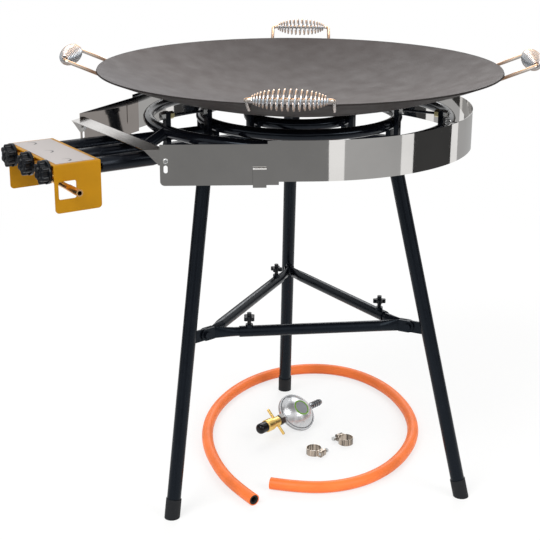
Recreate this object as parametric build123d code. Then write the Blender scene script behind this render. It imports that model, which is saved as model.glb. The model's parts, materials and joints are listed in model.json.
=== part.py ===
from build123d import *
from build123d.topology import SkipClean
import math
import os

# A dished griddle pan on a three-ring gas burner with a tripod stand, and its loose gas kit on the floor.
# Millimetres. The origin is on the floor under the burner's axis, +Z up, the knobs towards -Y.

# Pan
PAN_RADIUS = 400.0
PAN_DEPTH = 78.0
PAN_WALL = 3.0
PAN_SEAT_GAP = 0.3
PAN_ABOVE_RINGS = 16.0

# Pan handles: a bent rod each, with a barrel spring for a grip
HANDLE_NAMES = ("front", "right", "back", "left")
HANDLE_ANGLES = (323.7, 54.5, 145.5, 234.5)
HANDLE_WIDTHS = (146.0, 146.0, 128.0, 146.0)
HANDLE_ROD = 7.0
HANDLE_REACH = 55.0
HANDLE_BEND = 9.0
HANDLE_WELD_INSET = 10.0
HANDLE_WELD_LENGTH = 16.0
WELD_SINK = 0.5
SPRING_WIRE = 3.2
SPRING_PITCH = 6.9
SPRING_INSET = 11.0
SPRING_BELLY = 38.0
SPRING_BORE_GAP = 0.4
SPRING_PITCH_SWELL = 0.4

# Burner rings
RING_HEIGHT = 762.0
RING_TUBE = 22.0
RING_WALL = 2.0
OUTER_RING = 300.0
MIDDLE_RING = 195.0
INNER_RING = 100.0
PORT_SPACING = 40.0
PORT_GROUP = 5
PORT_BORE = 3.5
FEED_HOLE = 12.0

# Arms under the rings with a riser to each, posts beside the rings and the tie rods between posts
ARM_ANGLES = (270.0, 30.0, 150.0)
ARM_NAMES = ("front", "right", "back")
ARM_WIDTH = 14.0
ARM_HEIGHT = 14.0
ARM_BELOW_RINGS = 12.0
ARM_OVERHANG = 6.0
RISER_THICK = 10.0
POST_WIDTH = 16.0
POST_THICK = 10.0
POST_EDGE = 1.5
TIE_ROD = 5.0
TIE_ROD_DROP = 7.0
TIE_NUT_FLATS = 13.0
TIE_NUT_THICK = 8.0
TIE_NUT_PAN_GAP = 0.53283
BORE_GAP = 0.05

# Gas supply: mixing tubes, taps, manifold and knobs
TUBE_SPACING = 76.0
VENTURI_TUBE = 29.0
FEED_TUBE = 21.0
GAS_WALL = 2.0
FEED_DROP = 26.5
VENTURI_FRONT = -512.0
VENTURI_SHOULDER = -372.0
VENTURI_TAPER = 22.0
VENTURI_CAP = 3.0
AIR_SLOT_LENGTH = 26.0
AIR_SLOT_HEIGHT = 12.0
AIR_SLOT_SETBACK = 8.0
INJECTOR_THREAD = 8.0
INJECTOR_FLATS = 13.0
INJECTOR_HEAD = 6.0
INJECTOR_REACH = 14.0
INJECTOR_JET = 1.2
TAP_BARREL = 20.0
TAP_LENGTH = 48.0
TAP_BONNET_FLATS = 16.0
TAP_BONNET = 6.0
TAP_STEM = 11.0
TAP_STEM_SETBACK = 5.0
SPINDLE = 7.0
SPINDLE_DEPTH = 14.0
SPINDLE_GRIP = 10.0
KNOB_DIAMETER = 42.0
KNOB_LENGTH = 17.0
KNOB_LOBES = 6
KNOB_LOBE = 11.0
KNOB_VALLEY = 16.5
KNOB_GAP = 4.5
KNOB_EDGE = 2.0
KNOB_SKIRT = 43.0
KNOB_SKIRT_LENGTH = 5.0
KNOB_DISH = 19.0
KNOB_DISH_FLOOR = 13.0
KNOB_DISH_DEPTH = 2.0
MANIFOLD_TUBE = 11.0
MANIFOLD_DROP = 22.5
MANIFOLD_END = 92.0
NOZZLE_TUBE = 12.5
NOZZLE_LENGTH = 42.0
NOZZLE_BORE = 8.0
NOZZLE_SHOULDER = 118.0

# Control bracket
BRACKET_WIDTH = 206.0
BRACKET_DEPTH = 88.0
BRACKET_BACK = -488.0
BRACKET_SHEET = 2.0
BRACKET_DROP = 86.0
BRACKET_CORNER = 7.0
WINDOW_WIDTH = 34.0
WINDOW_HEIGHT = 32.0
WINDOW_CORNER = 4.0
WINDOW_FRONT_MARGIN = 7.0
WINDOW_BELOW_TOP = 30.0
LABEL_MARGIN = 7.0
LABEL_SHEET = 0.6

# Windshield
SHIELD_RING_GAP = 32.0
SHIELD_HEIGHT = 73.5
SHIELD_SHEET = 1.0
SHIELD_ABOVE_RINGS = 23.0
SHIELD_OPEN_HALF_ANGLE = 60.0
BAND_TAIL = 80.0
FLAP_DROP = 6.0
FLAP_START = 60.0
FLAP_END = 268.0
FLAP_CORNER = 8.0
FLAP_SCREW_INSET = 10.0
FLAP_SCREW_DROP = 29.0
FLAP_SLOT_DROP = 44.0
FLAP_SLOT_LENGTH = 14.0
FLAP_SLOT_WIDTH = 7.0
TONGUE_AT = 94.0
TONGUE_WIDTH = 24.0
TONGUE_DROP = 40.0
TONGUE_STAND_OFF = 5.0
TONGUE_HANG = 3.5
STAY_WIDTH = 18.0
STAY_HEIGHT = 43.0
STAY_DROP = 8.0
STAY_CORNER = 3.0
BRIDGE_DROP = 9.0
BRIDGE_FRONT = 296.0
BRIDGE_BACK = 254.0
EAR_DROP = 28.0
EAR_TIP = 16.0
SCREW_THREAD = 4.0
SCREW_HEAD = 9.0
SCREW_HEAD_THICK = 3.0
HOOK_WIRE = 4.0
HOOK_BELOW_RODS = 15.0
HOOK_EYE = 10.0

# Tripod
LEG_TUBE = 28.0
LEG_WALL = 1.5
LEG_TOP_RADII = (213.0, 198.0, 206.0)
FOOT_RADII = (361.0, 378.5, 375.0)
FOOT_ANGLES = (283.2, 30.7, 149.9)
SOCKET_WALL = 3.0
SOCKET_LENGTH = 50.0
SOCKET_ROOF = 6.0
SOCKET_BITE = 4.0
LEG_FIT_GAP = 0.1
CAP_TUBE = 31.0
CAP_HEIGHT = 38.0
CAP_FLOOR = 8.0

# Braces between the legs
BRACE_HEIGHT = 353.0
LUG_REACH = 41.0
LUG_HEIGHT = 24.5
LUG_THICK = 4.0
TAB_THICK = 4.0
TAB_LENGTH = 20.0
BRACE_FLARE = 40.0
SLEEVE_TUBE = 22.4
SLEEVE_WALL = 1.9
SLIDER_TUBE = 18.4
SLIDER_WALL = 1.5
SLIDER_SHOWS = 10.0
SLIDER_INSERT = 120.0
BOLT_THREAD = 8.0
BOLT_HOLE_GAP = 0.2
BOLT_FLATS = 13.0
BOLT_HEAD = 5.0
LOCK_SETBACK = 20.0
LOCK_THREAD = 8.0
LOCK_BOSS = 15.0
LOCK_BOSS_RISE = 4.0
LOCK_SHANK_RISE = 9.0
LOCK_HEAD = 26.0
LOCK_HEAD_THICK = 8.0
LOCK_LOBES = 4
LOCK_LOBE = 8.0
LOCK_VALLEY = 8.0
LOCK_HUB = 9.0
LOCK_HUB_RISE = 7.0
LOCK_TIP_GAP = 0.3
LOCK_TURNS = (12.0, 57.0, 35.0)

# Gas kit on the floor
HOSE_TUBE = 25.0
HOSE_BORE = 12.0
FLOOR_GAP = 0.3
HOSE_ROUTE = (
    (131, -189), (54, -192), (-42, -175), (-144, -139), (-235, -83), (-312, -8), (-371, 86),
    (-398, 181), (-390, 268), (-347, 339), (-271, 380), (-165, 385), (-54, 354), (39, 302),
    (110, 232), (163, 143), (185, 55), (173, -24), (132, -85), (89, -122),
)
HOSE_BEND_SHARE = 0.45
REGULATOR_X = -132.0
REGULATOR_Y = 92.0
REGULATOR_HEADING = 284.0
REGULATOR_TILT = 42.0
REGULATOR_BODY = 91.0
REGULATOR_FLANGE = 8.0
REGULATOR_DOME = 20.0
REGULATOR_CROWN = 39.0
REGULATOR_SWELL = 2.5
REGULATOR_BACK = 18.0
REGULATOR_BACK_FACE = 55.0
INLET_TUBE = 16.0
INLET_LENGTH = 112.0
WING_NUT = 28.0
WING_NUT_LENGTH = 41.0
WING_NUT_SETBACK = 17.0
WING_BARREL = 22.0
WING_BARREL_LENGTH = 19.0
WING_ROD = 6.5
WING_SPAN = 68.0
NOSE = 24.0
NOSE_LENGTH = 23.0
TAIL_TUBE = 12.5
TAIL_BARB = 16.0
TAIL_LENGTH = 38.0
TAIL_BARBS = 4
TAIL_BORE = 7.0
CLIP_PLACES = ((4.0, 47.0, 21.0), (0.0, 137.0, 185.0))
CLIP_BAND = 33.0
CLIP_SHEET = 1.0
CLIP_WIDTH = 14.5
CLIP_HOUSING_LENGTH = 17.0
CLIP_HOUSING_DEPTH = 11.0
CLIP_SCREW = 6.5
CLIP_SCREW_LENGTH = 27.0
CLIP_SCREW_FLATS = 9.0
CLIP_SCREW_HEAD = 5.0

# How far a cutting shape runs past the face that it cuts
CUT = 1.0

# Heights and places that follow from the sizes above
PAN_SPHERE = (PAN_RADIUS**2 + PAN_DEPTH**2) / (2 * PAN_DEPTH)
PAN_BOTTOM = RING_HEIGHT + PAN_ABOVE_RINGS
PAN_CENTRE = PAN_BOTTOM + PAN_SPHERE
ARM_TOP = RING_HEIGHT - RING_TUBE / 2 - ARM_BELOW_RINGS
ARM_BOTTOM = ARM_TOP - ARM_HEIGHT
GAS_HEIGHT = RING_HEIGHT - FEED_DROP
BRACKET_UNDERSIDE = GAS_HEIGHT + VENTURI_TUBE / 2 - WELD_SINK
BRACKET_TOP = BRACKET_UNDERSIDE + BRACKET_SHEET
BRACKET_FRONT = BRACKET_BACK - BRACKET_DEPTH
TUBE_PLACES = (-TUBE_SPACING, 0.0, TUBE_SPACING)
TUBE_NAMES = ("left", "centre", "right")
INJECTOR_FRONT = VENTURI_FRONT - INJECTOR_HEAD
TAP_FRONT = INJECTOR_FRONT - TAP_LENGTH
BONNET_FRONT = TAP_FRONT - TAP_BONNET
KNOB_BACK = BONNET_FRONT - KNOB_GAP
KNOB_FRONT = KNOB_BACK - KNOB_LENGTH
MANIFOLD_Y = TAP_FRONT + TAP_STEM_SETBACK + TAP_STEM / 2
MANIFOLD_HEIGHT = GAS_HEIGHT - MANIFOLD_DROP
SHIELD_RADIUS = OUTER_RING + RING_TUBE / 2 + SHIELD_RING_GAP
SHIELD_TOP = RING_HEIGHT + SHIELD_ABOVE_RINGS
SHIELD_BOTTOM = SHIELD_TOP - SHIELD_HEIGHT
FLAP_TOP = SHIELD_TOP - FLAP_DROP
FLAP_BOTTOM = SHIELD_BOTTOM - FLAP_DROP
BRIDGE_TOP = FLAP_TOP - BRIDGE_DROP
FLAP_ANGLE_RIGHT = 270.0 + SHIELD_OPEN_HALF_ANGLE
FLAP_ANGLE_LEFT = 270.0 - SHIELD_OPEN_HALF_ANGLE
HOSE_HEIGHT = HOSE_TUBE / 2 + FLOOR_GAP


def polar(radius, angle, height=0.0):
    """A point at a radius and an angle in degrees round the burner's axis."""
    turn = math.radians(angle)
    return Vector(radius * math.cos(turn), radius * math.sin(turn), height)


def rod(start, end, radius):
    """A round solid from one point to another."""
    run = Vector(end) - Vector(start)
    return extrude(Plane(origin=start, z_dir=run) * Circle(radius), amount=run.length)


def taper(start, end, start_radius, end_radius):
    """A cone frustum from one point to another."""
    run = Vector(end) - Vector(start)
    cone = Cone(start_radius, end_radius, run.length, align=(Align.CENTER, Align.CENTER, Align.MIN))
    return Plane(origin=start, z_dir=run) * cone


def hexagon(start, end, flats):
    """A hexagonal prism from one point to another, measured across its flats."""
    run = Vector(end) - Vector(start)
    section = RegularPolygon(flats / 2, 6, major_radius=False)
    return extrude(Plane(origin=start, z_dir=run) * section, amount=run.length)


def block(low, high):
    """A box between two corners."""
    size = Vector(high) - Vector(low)
    return Pos(*((Vector(low) + Vector(high)) * 0.5)) * Box(size.X, size.Y, size.Z)


def star(diameter, valley_radius, lobe, lobes):
    """The outline of a knob with round lobes."""
    outline = Circle(valley_radius)
    for spot in PolarLocations((diameter - lobe) / 2, lobes):
        outline += spot * Circle(lobe / 2)
    return outline


def one(shape):
    """The single solid of a shape."""
    solids = shape.solids()
    if len(solids) != 1:
        raise ValueError(f"expected one solid, found {len(solids)}")
    return solids[0]


def ring_body(radius, tube_radius):
    """A plain torus on the rings' centre plane."""
    return Pos(0, 0, RING_HEIGHT) * Torus(radius, tube_radius)


def radial(angle, shape):
    """A shape modelled along +X, turned to an arm's angle."""
    return Rot(0, 0, angle) * shape


# Pan bowl
def pan_bowl():
    rim = math.asin(PAN_RADIUS / PAN_SPHERE)

    def at(radius, angle):
        return (radius * math.sin(angle), 0, PAN_CENTRE - radius * math.cos(angle))

    inner = PAN_SPHERE - PAN_WALL
    outline = [
        ThreePointArc(at(PAN_SPHERE, 0), at(PAN_SPHERE, rim / 2), at(PAN_SPHERE, rim)),
        Line(at(PAN_SPHERE, rim), at(inner, rim)),
        ThreePointArc(at(inner, rim), at(inner, rim / 2), at(inner, 0)),
        Line(at(inner, 0), at(PAN_SPHERE, 0)),
    ]
    return revolve(make_face(outline), Axis.Z)


# Handle rods: each lies in the plane that touches the pan's underside near the rim
def handle_frame(width):
    """The foot of the legs, their direction and the centre of the grip, for a handle on +X."""
    half = width / 2
    sphere = math.sqrt(PAN_SPHERE**2 - half**2)
    touch = math.sqrt(PAN_RADIUS**2 - half**2) - HANDLE_WELD_INSET
    lean = math.asin(touch / sphere)
    reach = sphere + HANDLE_ROD / 2 - WELD_SINK
    seat = Vector(reach * math.sin(lean), 0, PAN_CENTRE - reach * math.cos(lean))
    along = Vector(math.cos(lean), 0, math.sin(lean))
    length = (PAN_RADIUS + HANDLE_REACH - seat.X) / along.X
    return seat, along, seat + along * length


def handle_bail(width):
    seat, along, grip = handle_frame(width)
    side = Vector(0, width / 2, 0)
    start = seat - along * HANDLE_WELD_LENGTH
    path = FilletPolyline(start - side, grip - side, grip + side, start + side, radius=HANDLE_BEND)
    bar = sweep(Plane(origin=start - side, z_dir=along) * Circle(HANDLE_ROD / 2), path=path)
    return bar - Pos(0, 0, PAN_CENTRE) * Sphere(PAN_SPHERE)


# Grip springs: a barrel coil round the handle's cross bar, its wire on two arcs for each quarter turn
SPRING_END_RADIUS = HANDLE_ROD / 2 + SPRING_BORE_GAP + SPRING_WIRE / 2
SPRING_MID_RADIUS = (SPRING_BELLY - SPRING_WIRE) / 2


def spring_length(width):
    return width - 2 * SPRING_INSET


def spring_turns(length):
    return round(length / SPRING_PITCH)


def spring_point(share, length):
    """A point of the wire's centre line, at a share of the coil from 0 to 1, with its axis along Y."""
    turn = 2 * math.pi * spring_turns(length) * share
    swell = SPRING_PITCH_SWELL * math.sin(2 * math.pi * share) / (2 * math.pi)
    place = length * (share - swell - 0.5)
    radius = SPRING_END_RADIUS + (SPRING_MID_RADIUS - SPRING_END_RADIUS) * math.sin(math.pi * share)
    return Vector(radius * math.cos(turn), place, radius * math.sin(turn))


def spring_heading(share, length, step=1e-5):
    """The direction of the wire there."""
    return (spring_point(share + step, length) - spring_point(share - step, length)).normalized()


def biarc(start, start_heading, end, end_heading):
    """Two arcs that leave and arrive in the given directions."""
    chord = end - start
    both = start_heading + end_heading
    spread = 2 * (1 - start_heading.dot(end_heading))
    lean = chord.dot(both)
    reach = (-lean + math.sqrt(lean**2 + spread * chord.dot(chord))) / spread
    first = start + start_heading * reach
    second = end - end_heading * reach
    middle = (first + second) * 0.5
    return [
        TangentArc(start, middle, tangent=start_heading),
        TangentArc(middle, end, tangent=second - first),
    ]


def grip_spring(length):
    steps = 4 * spring_turns(length)
    shares = [step / steps for step in range(steps + 1)]
    knots = [(spring_point(share, length), spring_heading(share, length)) for share in shares]
    (first, lead_in), (last, lead_out) = knots[0], knots[-1]
    edges = [Line(first - lead_in * SPRING_WIRE, first)]
    for here, there in zip(knots, knots[1:]):
        edges += biarc(*here, *there)
    edges.append(Line(last, last + lead_out * SPRING_WIRE))
    section = Plane(origin=first - lead_in * SPRING_WIRE, z_dir=lead_in) * Circle(SPRING_WIRE / 2)
    return sweep(section, path=Wire(edges))


def spring_self_gap(length, samples_per_turn=36):
    """The least gap between one turn of the wire and another, measured on points."""
    count = samples_per_turn * spring_turns(length)
    points = [spring_point(index / count, length) for index in range(count + 1)]
    least = length
    for index, point in enumerate(points):
        for other in points[index + samples_per_turn // 2:index + 2 * samples_per_turn]:
            least = min(least, (other - point).length)
    return least - SPRING_WIRE


# Burner rings: hollow, with flame ports on top and a hole where the gas comes in
def feed_points():
    """Where each mixing tube meets its ring: left to the middle ring, right to the inner one."""
    left, centre, right = TUBE_PLACES
    return {
        "left": Vector(left, -math.sqrt(MIDDLE_RING**2 - left**2), RING_HEIGHT),
        "centre": Vector(centre, -OUTER_RING, RING_HEIGHT),
        "right": Vector(right, -math.sqrt(INNER_RING**2 - right**2), RING_HEIGHT),
    }


def burner_ring(radius, feed):
    """Three swept sectors, each with its ports, joined with their seams kept."""
    section = Plane(origin=(radius, 0, RING_HEIGHT), x_dir=(1, 0, 0), z_dir=(0, -1, 0))
    section = section * (Circle(RING_TUBE / 2) - Circle(RING_TUBE / 2 - RING_WALL))
    sector = revolve(section, Axis.Z, 120)
    ports_each = PORT_GROUP * round(2 * math.pi * radius / (3 * PORT_GROUP * PORT_SPACING))
    step = 120.0 / ports_each
    heading = feed_slope() if radius == OUTER_RING else Vector(0, 0, 1)
    inlet = rod(feed, feed - heading * RING_TUBE, FEED_HOLE / 2)
    seam = 120.0 / PORT_GROUP
    pieces = []
    for arm in sorted(ARM_ANGLES):
        ports = []
        for index in range(ports_each):
            spot = polar(radius, arm + seam + step * (index + 0.5), RING_HEIGHT + RING_TUBE / 4)
            ports.append(rod(spot, spot + Vector(0, 0, RING_TUBE), PORT_BORE / 2))
        pieces.append(Rot(0, 0, arm + seam) * sector - ports - inlet)
    with SkipClean():
        return pieces[0] + pieces[1] + pieces[2]


# Mixing tubes: wide at the taps, then a narrow feed to one ring each
def feed_slope():
    """The direction in which the centre tube climbs to the outer ring."""
    start = Vector(0, VENTURI_SHOULDER + VENTURI_TAPER, GAS_HEIGHT)
    return (Vector(0, -OUTER_RING, RING_HEIGHT) - start).normalized()


def tube_core(place, feed, shrink):
    """The outside of a mixing tube, or its bore when shrunk by the wall."""
    wide, narrow = VENTURI_TUBE / 2 - shrink, FEED_TUBE / 2 - shrink
    front = Vector(place, VENTURI_FRONT, GAS_HEIGHT)
    shoulder = Vector(place, VENTURI_SHOULDER, GAS_HEIGHT)
    neck = Vector(place, VENTURI_SHOULDER + VENTURI_TAPER, GAS_HEIGHT)
    core = rod(front, shoulder, wide) + taper(shoulder, neck, wide, narrow)
    if place == 0.0:
        turn, rise = neck, feed
    else:
        turn, rise = Vector(place, feed.Y, GAS_HEIGHT), feed
        core += rod(neck, turn, narrow)
    core += Pos(*turn) * Sphere(narrow)
    core += rod(turn, rise, narrow)
    return core


def venturi_tube(name, place, ring):
    feed = feed_points()[name]
    tube = tube_core(place, feed, 0) - tube_core(place, feed, GAS_WALL)
    cap_back = Vector(place, VENTURI_FRONT + VENTURI_CAP, GAS_HEIGHT)
    tube += rod((place, VENTURI_FRONT, GAS_HEIGHT), cap_back, VENTURI_TUBE / 2)
    tube -= rod((place, VENTURI_FRONT - CUT, GAS_HEIGHT), cap_back + Vector(0, CUT, 0), INJECTOR_THREAD / 2)
    slot_front = VENTURI_FRONT + AIR_SLOT_SETBACK
    tube -= block(
        (place - VENTURI_TUBE, slot_front, GAS_HEIGHT - AIR_SLOT_HEIGHT / 2),
        (place + VENTURI_TUBE, slot_front + AIR_SLOT_LENGTH, GAS_HEIGHT + AIR_SLOT_HEIGHT / 2),
    )
    return tube - ring_body(ring, RING_TUBE / 2)


# Support arms: a bar with a riser under each ring, and the socket of one leg welded below
def leg_ends(index):
    """The top of a leg's axis, in its arm, and its foot on the floor."""
    top = polar(LEG_TOP_RADII[index], ARM_ANGLES[index], ARM_BOTTOM + SOCKET_BITE)
    return top, polar(FOOT_RADII[index], FOOT_ANGLES[index])


def leg_heading(index):
    top, foot = leg_ends(index)
    return (top - foot).normalized()


def support_arm(index, centre_tube):
    inner_end = INNER_RING - ARM_WIDTH / 2
    outer_end = OUTER_RING + ARM_OVERHANG
    half = ARM_WIDTH / 2
    bar = block((inner_end, -half, ARM_BOTTOM), (outer_end, half, ARM_TOP))
    for radius in (OUTER_RING, MIDDLE_RING, INNER_RING):
        riser = block(
            (radius - RISER_THICK / 2, -half, ARM_BOTTOM),
            (radius + RISER_THICK / 2, half, RING_HEIGHT - RING_TUBE / 4),
        )
        bar += riser - ring_body(radius, RING_TUBE / 2)
    arm = radial(ARM_ANGLES[index], bar)
    top = leg_ends(index)[0]
    down = leg_heading(index) * -1
    mouth = top + down * SOCKET_LENGTH
    bore = LEG_TUBE / 2 + LEG_FIT_GAP
    arm += rod(top, mouth, bore + SOCKET_WALL)
    arm -= rod(top + down * SOCKET_ROOF, mouth + down * CUT, bore)
    return arm - centre_tube


# Pan posts: the outer three stand on their ring, and the others on an arm beside theirs, up to the pan
def post_radius(ring):
    """The middle of a ring's posts: over the outer ring, and against the outer side of the other two."""
    if ring == OUTER_RING:
        return ring
    return ring + RING_TUBE / 2 + POST_THICK / 2 - WELD_SINK


def tie_rod_height():
    """Just under the pan, with room for the corners of the nuts on the middle posts."""
    nut_face = post_radius(MIDDLE_RING) + POST_THICK / 2
    underside = PAN_CENTRE - math.sqrt(PAN_SPHERE**2 - nut_face**2)
    return underside - TIE_NUT_FLATS / math.sqrt(3) - TIE_NUT_PAN_GAP


def pan_posts():
    posts = []
    height = tie_rod_height()
    top = height + TIE_ROD_DROP
    reach_of_pan = Pos(0, 0, PAN_CENTRE) * Sphere(PAN_SPHERE + PAN_SEAT_GAP)
    half_thick, half_wide = POST_THICK / 2, POST_WIDTH / 2
    for angle in ARM_ANGLES:
        for ring in (OUTER_RING, MIDDLE_RING, INNER_RING):
            radius = post_radius(ring)
            foot = RING_HEIGHT + RING_TUBE / 4 if ring == OUTER_RING else ARM_TOP
            post = block(
                (radius - half_thick, -half_wide, foot),
                (radius + half_thick, half_wide, top),
            )
            post = fillet(post.edges().filter_by(Axis.Z), POST_EDGE)
            if ring == OUTER_RING:
                post -= rod(
                    (radius - POST_THICK, 0, height),
                    (radius + POST_THICK, 0, height),
                    TIE_ROD / 2 + BORE_GAP,
                )
            post = radial(angle, post) - ring_body(ring, RING_TUBE / 2) - reach_of_pan
            posts.append(one(post))
    return posts


def tie_rods():
    height = tie_rod_height()
    start = post_radius(MIDDLE_RING) + POST_THICK / 2
    end = OUTER_RING + POST_THICK / 2 + TIE_NUT_THICK
    bar = rod((start, 0, height), (end, 0, height), TIE_ROD / 2)
    return [one(radial(angle, bar)) for angle in ARM_ANGLES]


def tie_rod_nuts():
    """Two on each outer post, and one outside each middle post."""
    nuts = []
    half, height = POST_THICK / 2, tie_rod_height()
    for face, side in ((OUTER_RING + half, 1), (OUTER_RING - half, -1), (post_radius(MIDDLE_RING) + half, 1)):
        start, end = (face, 0, height), (face + side * TIE_NUT_THICK, 0, height)
        nut = hexagon(start, end, TIE_NUT_FLATS) - rod(start, end, TIE_ROD / 2 + BORE_GAP)
        nuts += [one(radial(angle, nut)) for angle in ARM_ANGLES]
    return nuts


# Windshield: a round band, two straight flaps that hook on its tails, and a bridge across the tubes
def flap_plane(angle, outward):
    """A plane against a flap: local X runs along the flap, local Y is height, local Z points outwards."""
    out = polar(1, angle)
    along = polar(1, angle - 90) if angle == FLAP_ANGLE_RIGHT else polar(1, angle + 90)
    normal = out if along.cross(Vector(0, 0, 1)).dot(out) > 0 else out * -1
    return Plane(origin=out * outward, x_dir=along, z_dir=normal), out.dot(normal)


def flap_sheet(angle, inner, outline):
    """A sheet with an outline in the flap's plane, its inner face at a distance from the axis."""
    plane, sign = flap_plane(angle, inner)
    return extrude(plane * outline, amount=sign * SHIELD_SHEET)


def outline_box(low_along, low_height, high_along, high_height):
    """A rectangle in a flap's plane."""
    width, height = high_along - low_along, high_height - low_height
    return Pos((low_along + high_along) / 2, (low_height + high_height) / 2) * Rectangle(width, height)


def windshield_band():
    outer = SHIELD_RADIUS + SHIELD_SHEET
    ring = Pos(0, 0, SHIELD_BOTTOM) * Cylinder(
        outer, SHIELD_HEIGHT, align=(Align.CENTER, Align.CENTER, Align.MIN)
    )
    ring -= Pos(0, 0, SHIELD_BOTTOM) * Cylinder(
        SHIELD_RADIUS, SHIELD_HEIGHT, align=(Align.CENTER, Align.CENTER, Align.MIN)
    )
    far = (outer + CUT) / math.cos(math.radians(SHIELD_OPEN_HALF_ANGLE))
    gap = make_face(Polyline((0, 0), polar(far, FLAP_ANGLE_LEFT), polar(far, FLAP_ANGLE_RIGHT), close=True))
    ring -= Pos(0, 0, SHIELD_BOTTOM) * extrude(gap, amount=SHIELD_HEIGHT)
    tail = outline_box(0, SHIELD_BOTTOM, BAND_TAIL, SHIELD_TOP)
    for angle in (FLAP_ANGLE_LEFT, FLAP_ANGLE_RIGHT):
        ring += flap_sheet(angle, SHIELD_RADIUS, tail)
    return ring


def windshield_flap(angle):
    inner = SHIELD_RADIUS - SHIELD_SHEET
    outline = outline_box(FLAP_START, FLAP_BOTTOM, FLAP_END, FLAP_TOP)
    corner = outline.vertices().sort_by(lambda point: point.X - point.Y)[-1]
    outline = fillet(corner, FLAP_CORNER)
    screw_at = FLAP_END - FLAP_SCREW_INSET
    outline -= Pos(screw_at, FLAP_TOP - FLAP_SCREW_DROP) * Circle(SCREW_THREAD / 2 + BOLT_HOLE_GAP)
    slot = SlotOverall(FLAP_SLOT_LENGTH, FLAP_SLOT_WIDTH, rotation=90)
    outline -= Pos(screw_at, FLAP_TOP - FLAP_SLOT_DROP) * slot
    stay_top = FLAP_TOP - STAY_DROP
    stay = RectangleRounded(STAY_WIDTH, STAY_HEIGHT, STAY_CORNER)
    stay = flap_sheet(angle, inner - SHIELD_SHEET, Pos(TONGUE_AT, stay_top - STAY_HEIGHT / 2) * stay)
    return flap_sheet(angle, inner, outline) + stay + flap_tongue(angle)


def flap_tongue(angle):
    """The strip on a flap's outer face: a quarter round at its top, then down past the lower edge."""
    top, bottom = FLAP_TOP - TONGUE_DROP, FLAP_BOTTOM - TONGUE_HANG
    outer, inner = TONGUE_STAND_OFF, TONGUE_STAND_OFF - SHIELD_SHEET
    bend = top - outer
    profile = [
        JernArc((0, top), (1, 0), outer, -90),
        Line((outer, bend), (outer, bottom)),
        Line((outer, bottom), (inner, bottom)),
        Line((inner, bottom), (inner, bend)),
        JernArc((inner, bend), (0, 1), inner, 90),
        Line((0, top - SHIELD_SHEET), (0, top)),
    ]
    out = polar(1, angle)
    along = polar(1, angle - 90) if angle == FLAP_ANGLE_RIGHT else polar(1, angle + 90)
    across = out.cross(Vector(0, 0, 1))
    start = out * SHIELD_RADIUS + along * TONGUE_AT
    section = Plane(origin=start, x_dir=out, z_dir=across) * make_face(profile)
    return extrude(section, amount=TONGUE_WIDTH / 2, both=True)


def shield_bridge():
    """The plate across the tubes, with an ear folded down against each flap."""
    inner = SHIELD_RADIUS - 2 * SHIELD_SHEET
    corners = []
    for angle, order in ((FLAP_ANGLE_RIGHT, 1), (FLAP_ANGLE_LEFT, -1)):
        plane = flap_plane(angle, inner + SHIELD_SHEET)[0]
        side = [plane.from_local_coords((along, 0, 0)) for along in (BRIDGE_BACK, BRIDGE_FRONT)]
        corners += side[::order]
    plate = extrude(make_face(Polyline(*corners, close=True)), amount=SHIELD_SHEET, dir=(0, 0, 1))
    bridge = Pos(0, 0, BRIDGE_TOP - SHIELD_SHEET) * plate
    ear = make_face(Polyline(
        (BRIDGE_FRONT, BRIDGE_TOP), (BRIDGE_BACK, BRIDGE_TOP),
        (BRIDGE_BACK, BRIDGE_TOP - EAR_DROP), (BRIDGE_BACK + EAR_TIP, BRIDGE_TOP - EAR_DROP), close=True,
    ))
    hole = Pos(FLAP_END - FLAP_SCREW_INSET, FLAP_TOP - FLAP_SCREW_DROP)
    ear -= hole * Circle(SCREW_THREAD / 2 + BOLT_HOLE_GAP)
    for angle in (FLAP_ANGLE_LEFT, FLAP_ANGLE_RIGHT):
        bridge += flap_sheet(angle, inner, ear)
    return bridge


def shield_screws():
    screws = []
    for angle in (FLAP_ANGLE_LEFT, FLAP_ANGLE_RIGHT):
        plane = flap_plane(angle, 0)[0]
        out = polar(1, angle)
        centre = plane.from_local_coords((FLAP_END - FLAP_SCREW_INSET, FLAP_TOP - FLAP_SCREW_DROP, 0))
        inside, outside = centre + out * (SHIELD_RADIUS - 2 * SHIELD_SHEET), centre + out * SHIELD_RADIUS
        head = rod(outside, outside + out * SCREW_HEAD_THICK, SCREW_HEAD / 2)
        head = fillet(head.edges().sort_by(Axis(outside, out))[-1], SCREW_HEAD_THICK / 2)
        nut = hexagon(inside, inside - out * SCREW_HEAD_THICK, SCREW_HEAD)
        screws.append(one(head + rod(inside, outside, SCREW_THREAD / 2) + nut))
    return screws


def shield_hooks():
    """A wire from the outer posts of the two arms inside the shield to its wall."""
    height = tie_rod_height() - HOOK_BELOW_RODS
    start = OUTER_RING + POST_THICK / 2
    wire = rod((start, 0, height), (SHIELD_RADIUS + SHIELD_SHEET, 0, height), HOOK_WIRE / 2)
    wall = Cylinder(SHIELD_RADIUS, 2 * SHIELD_TOP)
    loop = Pos(start + HOOK_WIRE * 2, 0, height) * Rot(90, 0, 0) * Torus(HOOK_EYE / 2, HOOK_WIRE / 2)
    hook = (wire & wall) + loop
    return [one(radial(angle, hook)) for angle in ARM_ANGLES[1:]]


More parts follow.
